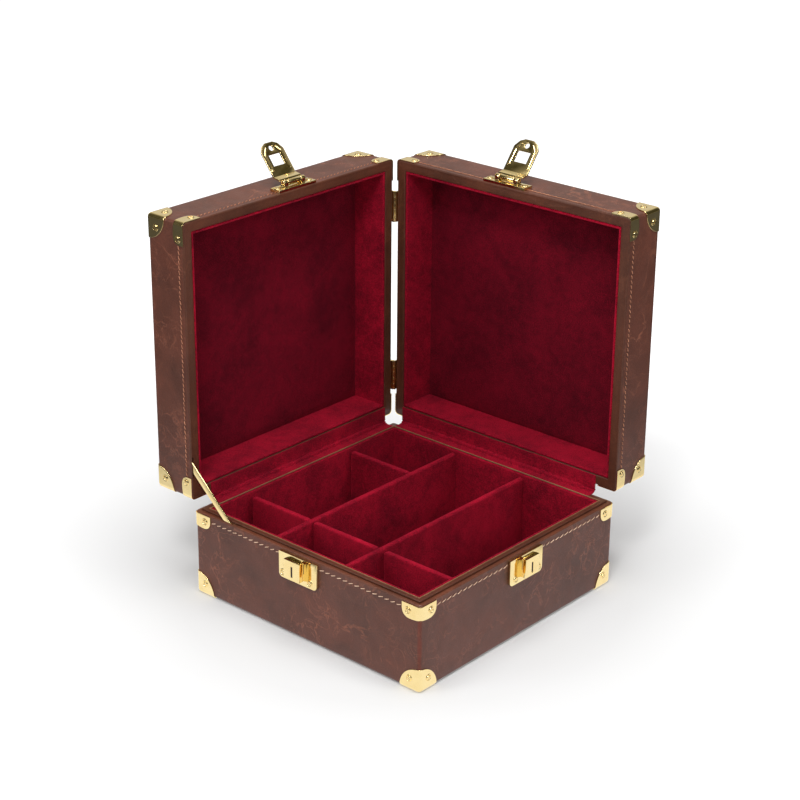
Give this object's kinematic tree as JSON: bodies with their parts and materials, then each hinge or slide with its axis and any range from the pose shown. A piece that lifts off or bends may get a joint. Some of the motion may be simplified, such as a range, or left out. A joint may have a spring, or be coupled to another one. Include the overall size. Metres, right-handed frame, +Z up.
{
  "type": "leather jewellery case",
  "caption": "Square leather jewellery case with two hinged velvet-lined lids, a compartmented base, sprung lock slides, swinging hasps and a lid stay.",
  "frame": {"origin": "centre of the bottom of the base", "axes": "+Z up; the front lock face is -Y, the second lock face is +X, the left lid is hinged on -X and the rear lid on +Y"},
  "size_m": [0.3144, 0.3144, 0.3753],
  "materials": {
    "leather": "smooth glazed hide, marbled brown",
    "rim_leather": "polished edge leather",
    "velvet": "short pile velvet",
    "velvet_edge": "short pile velvet over board",
    "wood": "raw plywood",
    "brass": "polished",
    "bottom_sheet": "dark felt"
  },
  "bodies": {
    "base": {"bottom_sheet": "bottom_sheet", "base_floor": "wood", "base_front_wall": "wood", "base_left_wall": "wood", "base_rear_wall": "wood", "base_right_wall": "wood", "base_leather": "leather", "base_rim": "rim_leather", "base_lining": "velvet_edge", "base_floor_pad": "velvet", "left_long_divider": "velvet", "right_long_divider": "velvet", "short_divider_1": "velvet", "short_divider_2": "velvet", "short_divider_3": "velvet", "short_divider_4": "velvet", "base_lower_caps": "brass", "base_upper_plates": "brass", "base_screws": "brass", "base_hinge_leaves": "brass", "hinge_pins": "brass", "base_strips": "velvet", "front_lock_plate": "brass", "front_lock_case": "brass", "right_lock_plate": "brass", "right_lock_case": "brass"},
    "front_slide": {"front_lock_slide": "brass"},
    "right_slide": {"right_lock_slide": "brass"},
    "left_lid": {"left_lid_panel": "wood", "left_lid_walls": "wood", "left_lid_leather": "leather", "left_lid_rim": "rim_leather", "left_lid_lining": "velvet_edge", "left_lid_pad": "velvet", "left_lid_rim_plates": "brass", "left_lid_caps": "brass", "left_lid_screws": "brass", "left_lid_hinge_leaves": "brass", "left_lid_strip": "velvet", "left_corner_knuckles": "brass", "left_hasp_base": "brass", "left_hasp_pin": "brass", "stay_pin": "brass"},
    "left_hasp": {"left_hasp": "brass"},
    "rear_lid": {"rear_lid_panel": "wood", "rear_lid_walls": "wood", "rear_lid_leather": "leather", "rear_lid_rim": "rim_leather", "rear_lid_lining": "velvet_edge", "rear_lid_pad": "velvet", "rear_lid_rim_plates": "brass", "rear_lid_caps": "brass", "rear_lid_screws": "brass", "rear_lid_hinge_leaves": "brass", "rear_lid_strip": "velvet", "rear_corner_knuckles": "brass", "rear_hasp_base": "brass", "rear_hasp_pin": "brass"},
    "rear_hasp": {"rear_hasp": "brass"},
    "stay": {"stay_arm": "brass"}
  },
  "joints": [
    {"name": "left_lid_hinge", "type": "hinge", "parent": "base", "child": "left_lid", "pos_m": [-0.133, 0, 0.082], "axis": [0, 1, 0], "range_deg": [0, 90]},
    {"name": "rear_lid_hinge", "type": "hinge", "parent": "base", "child": "rear_lid", "pos_m": [0, 0.133, 0.082], "axis": [-1, 0, 0], "range_deg": [-90, 0]},
    {"name": "left_hasp_hinge", "type": "hinge", "parent": "left_lid", "child": "left_hasp", "pos_m": [-0.14, 0.007, 0.3466], "axis": [0, 1, 0], "range_deg": [0, 128]},
    {"name": "rear_hasp_hinge", "type": "hinge", "parent": "rear_lid", "child": "rear_hasp", "pos_m": [-0.007, 0.14, 0.3466], "axis": [-1, 0, 0], "range_deg": [-128, 0]},
    {"name": "front_slide_travel", "type": "slide", "parent": "base", "child": "front_slide", "axis": [1, 0, 0], "range_m": [0, 0.0025], "stiffness_N_per_m": 300},
    {"name": "right_slide_travel", "type": "slide", "parent": "base", "child": "right_slide", "axis": [0, -1, 0], "range_m": [0, 0.0025], "stiffness_N_per_m": 300},
    {"name": "stay_pivot", "type": "hinge", "parent": "left_lid", "child": "stay", "pos_m": [-0.139, -0.1279, 0.124], "axis": [0, 1, 0], "range_deg": [-43, 0]}
  ],
  "couplings": [
    {"joint": "stay_pivot", "follows": "left_lid_hinge", "ratio": -0.47222}
  ]
}
